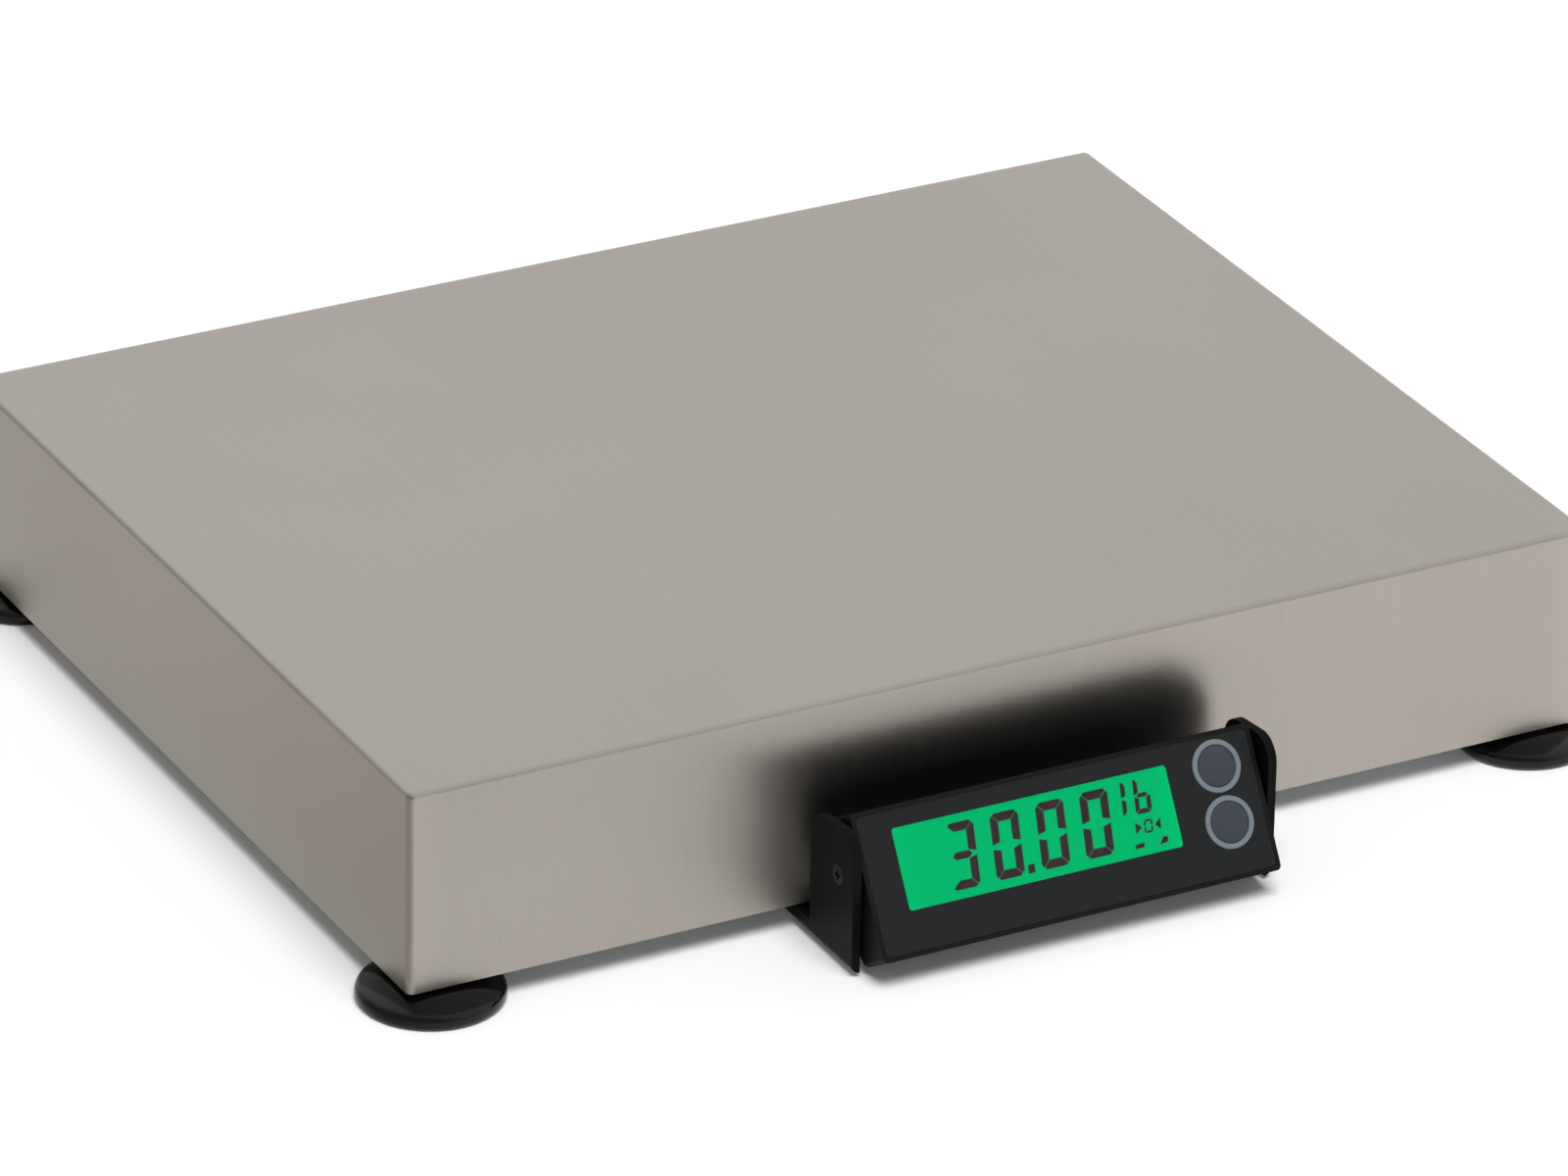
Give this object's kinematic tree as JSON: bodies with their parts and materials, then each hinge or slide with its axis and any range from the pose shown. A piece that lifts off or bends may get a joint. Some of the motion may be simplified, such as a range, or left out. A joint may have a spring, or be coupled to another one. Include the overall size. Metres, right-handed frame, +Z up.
{
  "type": "weighing scale",
  "caption": "Low bench scale for portioning food: a folded stainless platter over a load cell, levelling feet, and a tilting display on a bracket at the front.",
  "frame": {"origin": "on the table, under the middle of the whole footprint", "axes": "+Z up, +X to the reader's right when facing the display, -Y out of the front, where the display is"},
  "size_m": [0.3734, 0.331, 0.066],
  "materials": {
    "stainless": "fine brushed",
    "black_rubber": "matt",
    "cast_aluminium": "as cast",
    "machined_aluminium": "machined",
    "gauge_film": "satin",
    "black_steel": "black oxide",
    "zinc_steel": "zinc plated",
    "vial_acrylic": "clear, tinted",
    "black_plastic": "satin",
    "black_enamel": "satin black enamel",
    "case_plastic": "satin",
    "overlay_film": "printed film",
    "clear_lens": "clear",
    "lcd_panel": "liquid-crystal panel",
    "lit_diffuser": "backlit green",
    "board_green": "solder mask",
    "chip_plastic": "moulded",
    "ring_grey": "satin grey",
    "key_slate": "satin slate",
    "plunger_white": "moulded",
    "insert_brass": "turned",
    "fibre": "fibre",
    "foot_black": "glossy black"
  },
  "bodies": {
    "base": {"base_frame": "cast_aluminium", "foot_jam_nuts": "zinc_steel", "overload_stops": "black_steel", "overload_locknuts": "zinc_steel", "level_vial": "vial_acrylic", "level_ring": "black_plastic", "lead_grommet": "black_rubber", "display_bracket": "black_enamel", "bracket_screws": "black_steel", "load_cell": "machined_aluminium", "strain_gauges": "gauge_film", "base_spacer": "machined_aluminium", "load_cell_base_screws": "black_steel", "friction_washers": "fibre"},
    "weigh_platform": {"live_spacer": "machined_aluminium", "load_cell_live_screws": "black_steel", "spider": "cast_aluminium", "platter_cushions": "black_rubber"},
    "platter": {"platter": "stainless"},
    "display": {"display_rear_shell": "case_plastic", "display_bezel": "case_plastic", "display_overlay": "overlay_film", "display_lens": "clear_lens", "lcd_glass": "lcd_panel", "backlight": "lit_diffuser", "lcd_holder": "black_plastic", "display_board": "board_green", "board_chips": "chip_plastic", "board_screws": "zinc_steel", "case_screws": "black_steel", "lead_socket": "black_plastic", "power_socket": "black_plastic", "key_switches": "black_plastic", "key_rings": "ring_grey", "pivot_inserts": "insert_brass", "pivot_screws": "black_steel"},
    "upper_key": {"upper_key": "key_slate", "upper_key_plunger": "plunger_white"},
    "lower_key": {"lower_key": "key_slate", "lower_key_plunger": "plunger_white"},
    "foot_pad_front_left": {"foot_pad_front_left": "foot_black"},
    "foot_stud_front_left": {"foot_stud_front_left": "zinc_steel"},
    "foot_pad_front_right": {"foot_pad_front_right": "foot_black"},
    "foot_stud_front_right": {"foot_stud_front_right": "zinc_steel"},
    "foot_pad_back_left": {"foot_pad_back_left": "foot_black"},
    "foot_stud_back_left": {"foot_stud_back_left": "zinc_steel"},
    "foot_pad_back_right": {"foot_pad_back_right": "foot_black"},
    "foot_stud_back_right": {"foot_stud_back_right": "zinc_steel"}
  },
  "joints": [
    {"name": "weigh_deflection", "type": "slide", "parent": "base", "child": "weigh_platform", "axis": [0, 0, 1], "range_m": [-0.0005, 0], "stiffness_N_per_m": 490000, "deforming": ["load_cell"]},
    {"name": "platter_lift", "type": "slide", "parent": "weigh_platform", "child": "platter", "axis": [0, 0, 1], "range_m": [0, 0.08]},
    {"name": "display_tilt", "type": "hinge", "parent": "base", "child": "display", "pos_m": [0, -0.14583, 0.0266], "axis": [1, 0, 0], "range_deg": [-25, 15]},
    {"name": "upper_key_press", "type": "slide", "parent": "display", "child": "upper_key", "axis": [0, 0.8572, -0.515], "range_m": [0, 0.0005], "stiffness_N_per_m": 3000, "springref_m": -0.0002},
    {"name": "lower_key_press", "type": "slide", "parent": "display", "child": "lower_key", "axis": [0, 0.8572, -0.515], "range_m": [0, 0.0005], "stiffness_N_per_m": 3000, "springref_m": -0.0002},
    {"name": "foot_height_front_left", "type": "slide", "parent": "base", "child": "foot_pad_front_left", "axis": [0, 0, -1], "range_m": [0, 0.01]},
    {"name": "foot_turn_front_left", "type": "hinge", "parent": "foot_pad_front_left", "child": "foot_stud_front_left", "pos_m": [-0.1667, -0.11453, 0.02], "axis": [0, 0, -1], "range_deg": [0, 2881]},
    {"name": "foot_height_front_right", "type": "slide", "parent": "base", "child": "foot_pad_front_right", "axis": [0, 0, -1], "range_m": [0, 0.01]},
    {"name": "foot_turn_front_right", "type": "hinge", "parent": "foot_pad_front_right", "child": "foot_stud_front_right", "pos_m": [0.1667, -0.11453, 0.02], "axis": [0, 0, -1], "range_deg": [0, 2881]},
    {"name": "foot_height_back_left", "type": "slide", "parent": "base", "child": "foot_pad_back_left", "axis": [0, 0, -1], "range_m": [0, 0.01]},
    {"name": "foot_turn_back_left", "type": "hinge", "parent": "foot_pad_back_left", "child": "foot_stud_back_left", "pos_m": [-0.1667, 0.14547, 0.02], "axis": [0, 0, -1], "range_deg": [0, 2881]},
    {"name": "foot_height_back_right", "type": "slide", "parent": "base", "child": "foot_pad_back_right", "axis": [0, 0, -1], "range_m": [0, 0.01]},
    {"name": "foot_turn_back_right", "type": "hinge", "parent": "foot_pad_back_right", "child": "foot_stud_back_right", "pos_m": [0.1667, 0.14547, 0.02], "axis": [0, 0, -1], "range_deg": [0, 2881]}
  ],
  "couplings": [
    {"joint": "foot_turn_front_left", "follows": "foot_height_front_left", "rad_per_m": 5026.5},
    {"joint": "foot_turn_front_right", "follows": "foot_height_front_right", "rad_per_m": 5026.5},
    {"joint": "foot_turn_back_left", "follows": "foot_height_back_left", "rad_per_m": 5026.5},
    {"joint": "foot_turn_back_right", "follows": "foot_height_back_right", "rad_per_m": 5026.5}
  ]
}
